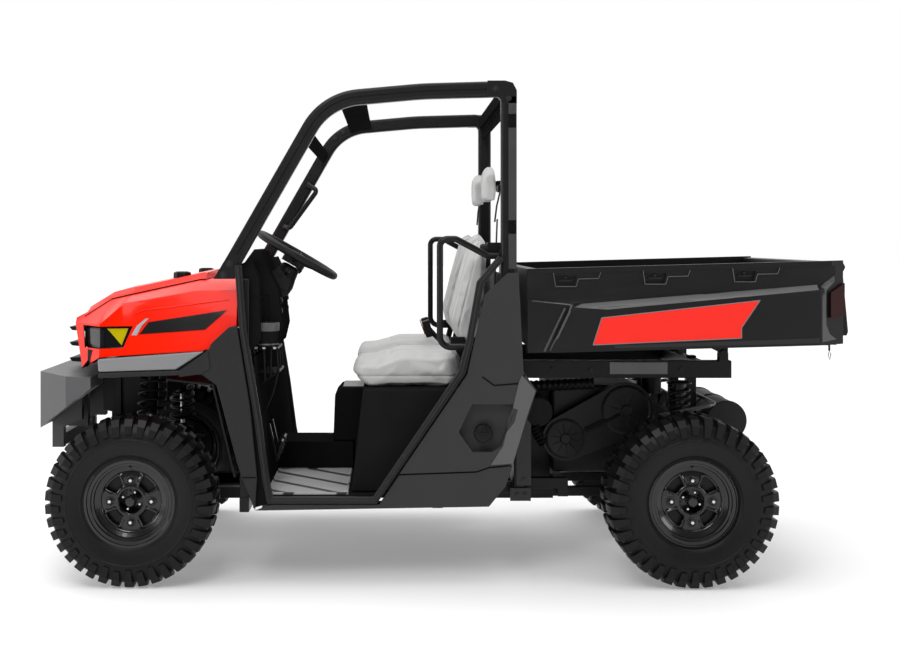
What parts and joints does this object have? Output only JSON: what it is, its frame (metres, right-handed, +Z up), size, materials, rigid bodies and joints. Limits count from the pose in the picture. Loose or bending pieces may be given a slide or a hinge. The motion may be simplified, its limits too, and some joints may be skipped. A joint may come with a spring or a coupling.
{
  "type": "side by side utility vehicle",
  "caption": "Two-seat open-cab utility vehicle with a roll-over frame, tipping cargo bed, drop tailgate, lifting hood, steered front wheels and freely rolling wheels.",
  "frame": {"origin": "on the ground under the middle of the vehicle's box", "axes": "+X forward, +Y to the vehicle's left, +Z up"},
  "size_m": [3.05, 1.523, 1.8566],
  "materials": {
    "black_plastic": "grained black moulding",
    "black_steel": "satin black powder coat",
    "grey_metal": "dull cast metal",
    "orange_panel": "glossy orange-red body panel",
    "silver_panel": "satin silver-grey panel",
    "dark_grey_panel": "dark grey grained panel",
    "grey_vinyl": "light grey vinyl with sewn channels",
    "webbing": "black webbing",
    "lamp_lens": "smoked lamp with a yellow marker",
    "red_lens": "dark red lamp lens",
    "tyre_rubber": "black tyre rubber",
    "floor_mat": "ribbed grey rubber mat",
    "spring_steel": "black coated spring steel"
  },
  "bodies": {
    "chassis": {"floor_frame": "black_steel", "front_frame": "black_steel", "rear_frame": "black_steel", "engine_block": "grey_metal", "belt_cover": "black_plastic", "intake": "black_plastic", "muffler": "grey_metal", "drive_axles": "grey_metal", "suspension_arms": "black_steel", "shocks": "spring_steel", "rear_hub_carriers": "grey_metal", "steering_rack": "black_steel", "floor_pan": "floor_mat", "skid_plate": "black_steel", "cowl": "orange_panel", "grille": "black_plastic", "headlamps": "lamp_lens", "fender_flares": "silver_panel", "front_fenders": "dark_grey_panel", "wheel_liners": "black_plastic", "front_bumper": "dark_grey_panel", "door_trims": "black_plastic", "rear_side_panels": "dark_grey_panel", "fuel_cap": "black_plastic", "rocker_panels": "dark_grey_panel", "cab_rear_panel": "black_plastic", "dashboard": "black_plastic", "seat_base": "black_plastic", "centre_console": "black_plastic", "seat_cushions": "grey_vinyl", "seat_backs": "grey_vinyl", "head_restraints": "grey_vinyl", "seat_belts": "webbing", "roll_hoop_left": "black_steel", "roll_hoop_right": "black_steel", "hoop_crossbars": "black_steel", "hip_bars": "black_steel", "grab_handle": "black_steel", "steering_column": "black_plastic", "pedals": "black_steel", "stabilizer_bar": "black_steel", "hitch_receiver": "black_steel"},
    "hood": {"hood": "orange_panel"},
    "cargo_bed": {"cargo_bed": "dark_grey_panel", "tail_lamps": "red_lens"},
    "tailgate": {"tailgate": "dark_grey_panel"},
    "knuckle_left": {"knuckle_left": "grey_metal"},
    "knuckle_right": {"knuckle_right": "grey_metal"},
    "tie_rods": {"tie_rods": "grey_metal"},
    "steering_wheel": {"steering_wheel": "black_plastic"},
    "wheel_front_left": {"tyre_front_left": "tyre_rubber", "rim_front_left": "black_steel"},
    "wheel_front_right": {"tyre_front_right": "tyre_rubber", "rim_front_right": "black_steel"},
    "wheel_rear_left": {"tyre_rear_left": "tyre_rubber", "rim_rear_left": "black_steel"},
    "wheel_rear_right": {"tyre_rear_right": "tyre_rubber", "rim_rear_right": "black_steel"}
  },
  "joints": [
    {"name": "hood_lift", "type": "hinge", "parent": "chassis", "child": "hood", "pos_m": [1.358, 0, 0.994], "axis": [0, 1, 0], "range_deg": [0, 60]},
    {"name": "bed_tip", "type": "hinge", "parent": "chassis", "child": "cargo_bed", "pos_m": [-1.115, 0, 0.828], "axis": [0, -1, 0], "range_deg": [0, 42]},
    {"name": "tailgate_drop", "type": "hinge", "parent": "cargo_bed", "child": "tailgate", "pos_m": [-1.5, 0, 0.9], "axis": [0, -1, 0], "range_deg": [0, 90]},
    {"name": "steer_left", "type": "hinge", "parent": "chassis", "child": "knuckle_left", "pos_m": [1.13, 0.56, 0.312], "axis": [0, 0, 1], "range_deg": [-30, 30]},
    {"name": "steer_right", "type": "hinge", "parent": "chassis", "child": "knuckle_right", "pos_m": [1.13, -0.56, 0.312], "axis": [0, 0, 1], "range_deg": [-30, 30]},
    {"name": "rack_slide", "type": "slide", "parent": "chassis", "child": "tie_rods", "axis": [0, 1, 0], "range_m": [-0.045, 0.045]},
    {"name": "steering_wheel_turn", "type": "hinge", "parent": "chassis", "child": "steering_wheel", "pos_m": [0.543, 0.33, 1.212], "axis": [-0.5, 0, 0.866], "range_deg": [-270, 270]},
    {"name": "roll_front_left", "type": "hinge", "parent": "knuckle_left", "child": "wheel_front_left", "pos_m": [1.13, 0.63, 0.312], "axis": [0, 1, 0], "continuous": true},
    {"name": "roll_front_right", "type": "hinge", "parent": "knuckle_right", "child": "wheel_front_right", "pos_m": [1.13, -0.63, 0.312], "axis": [0, 1, 0], "continuous": true},
    {"name": "roll_rear_left", "type": "hinge", "parent": "chassis", "child": "wheel_rear_left", "pos_m": [-0.93, 0.622, 0.312], "axis": [0, 1, 0], "continuous": true},
    {"name": "roll_rear_right", "type": "hinge", "parent": "chassis", "child": "wheel_rear_right", "pos_m": [-0.93, -0.622, 0.312], "axis": [0, 1, 0], "continuous": true}
  ],
  "couplings": [
    {"joint": "steer_right", "follows": "steer_left", "ratio": 1},
    {"joint": "rack_slide", "follows": "steer_left", "m_per_rad": -0.085},
    {"joint": "steering_wheel_turn", "follows": "steer_left", "ratio": 9}
  ]
}
